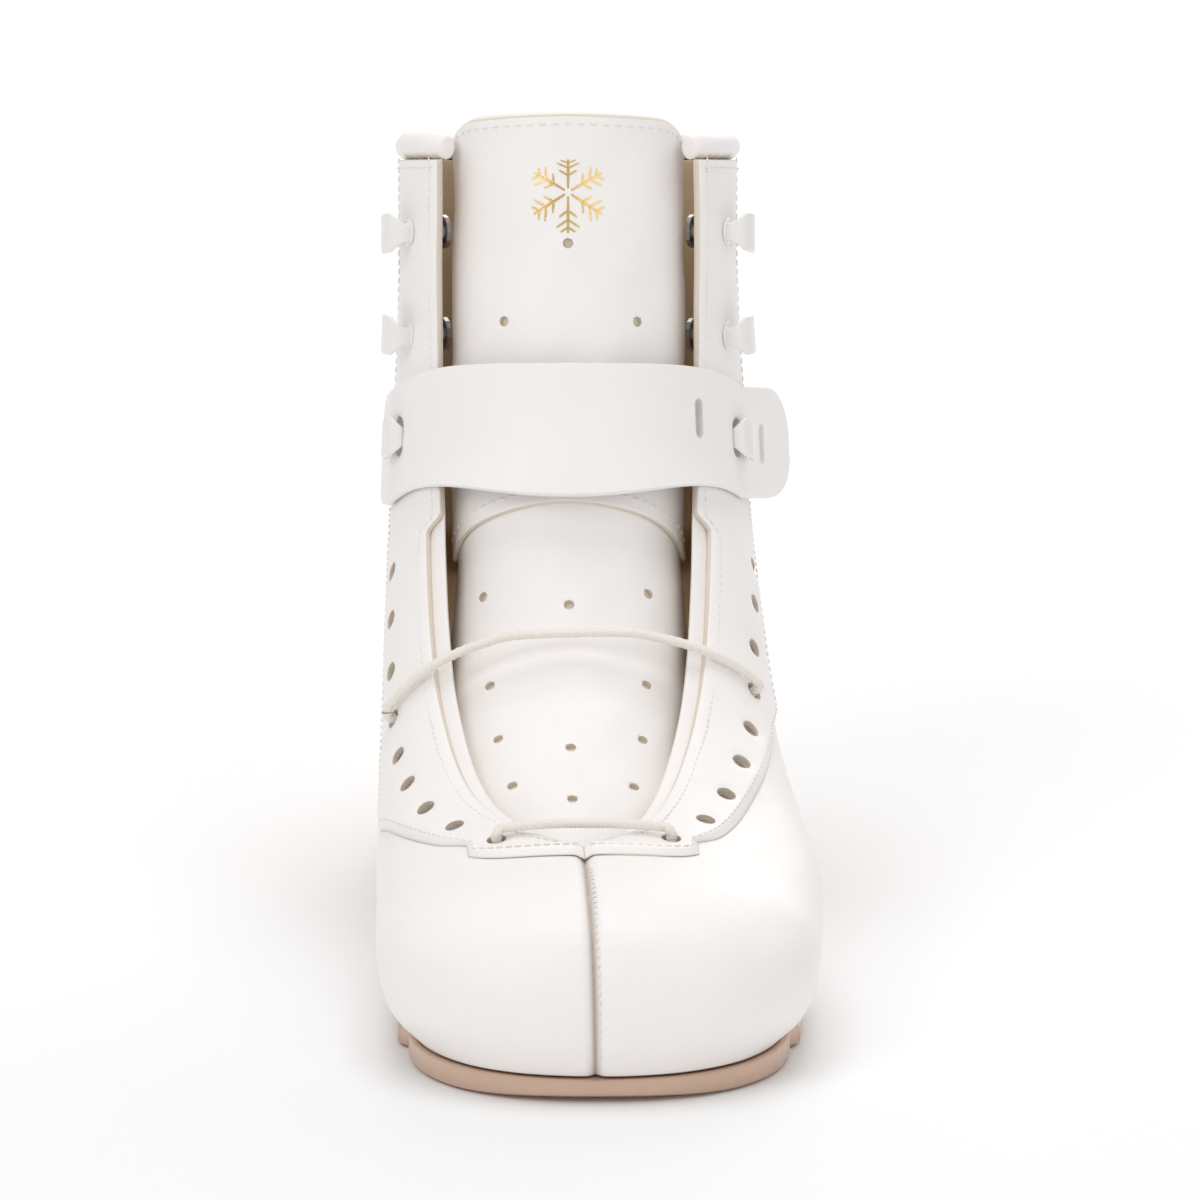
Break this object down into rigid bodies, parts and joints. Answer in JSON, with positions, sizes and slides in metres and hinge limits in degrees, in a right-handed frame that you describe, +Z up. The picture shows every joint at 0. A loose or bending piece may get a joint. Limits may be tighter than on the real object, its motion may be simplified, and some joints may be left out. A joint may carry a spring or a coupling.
{
  "type": "figure skating boot",
  "caption": "White leather figure skating boot without a blade: lace holes, speed hooks, a padded perforated tongue, an ankle strap that swings open and a heeled sole.",
  "frame": {"origin": "centre of the boot's footprint box, on the ground", "axes": "+X to the medial side of the foot, +Y from the toe back to the heel, +Z up; the toe points along -Y"},
  "size_m": [0.0994, 0.2618, 0.1849],
  "materials": {
    "white_leather": "smooth white leather with a fine grain and a soft sheen",
    "strap_leather": "smooth white strap leather, cut edges",
    "tan_lining": "soft tan microfibre lining",
    "padding": "cream foam and stiffening felt",
    "fibre_board": "pressed brown fibre board",
    "bronze_sole": "satin bronze lacquered sole edge",
    "heel_stack": "satin bronze lacquered heel",
    "hook_white": "white coated hook",
    "washer_steel": "plain steel",
    "tie_cord": "round white woven cord"
  },
  "bodies": {
    "boot": {"outsole": "bronze_sole", "heel_block": "heel_stack", "heel_lift": "heel_stack", "insole_board": "fibre_board", "shank": "washer_steel", "footbed": "tan_lining", "quarter_medial": "white_leather", "quarter_lateral": "white_leather", "facing_medial": "white_leather", "facing_lateral": "white_leather", "lining_medial": "tan_lining", "lining_lateral": "tan_lining", "ankle_padding_medial": "padding", "ankle_padding_lateral": "padding", "toe_puff": "padding", "heel_counter": "fibre_board", "back_stay": "white_leather", "collar_roll_medial": "white_leather", "collar_roll_lateral": "white_leather", "tongue_lower_cover": "white_leather", "tongue_lower_padding": "tan_lining", "hook_medial_lower": "hook_white", "hook_medial_middle": "hook_white", "hook_medial_top": "hook_white", "hook_lateral_lower": "hook_white", "hook_lateral_middle": "hook_white", "hook_lateral_top": "hook_white", "hook_washer_medial_lower": "washer_steel", "hook_washer_medial_middle": "washer_steel", "hook_washer_medial_top": "washer_steel", "hook_washer_lateral_lower": "washer_steel", "hook_washer_lateral_middle": "washer_steel", "hook_washer_lateral_top": "washer_steel", "strap_anchor": "strap_leather", "instep_tie": "tie_cord", "toe_tie": "tie_cord"},
    "strap": {"strap_band": "strap_leather"},
    "tongue": {"tongue_upper_cover": "white_leather", "tongue_upper_padding": "tan_lining"}
  },
  "joints": [
    {"name": "strap_swing", "type": "hinge", "parent": "boot", "child": "strap", "pos_m": [-0.04069, 0.02662, 0.11611], "axis": [-0.0304, -0.3066, -0.9514], "range_deg": [0, 95]},
    {"name": "tongue_fold", "type": "hinge", "parent": "boot", "child": "tongue", "pos_m": [-0.00645, 0.00667, 0.10291], "axis": [1, 0, 0], "range_deg": [0, 50]}
  ],
  "couplings": [
    {"joint": "tongue_fold", "follows": "strap_swing", "ratio": 0.5}
  ]
}
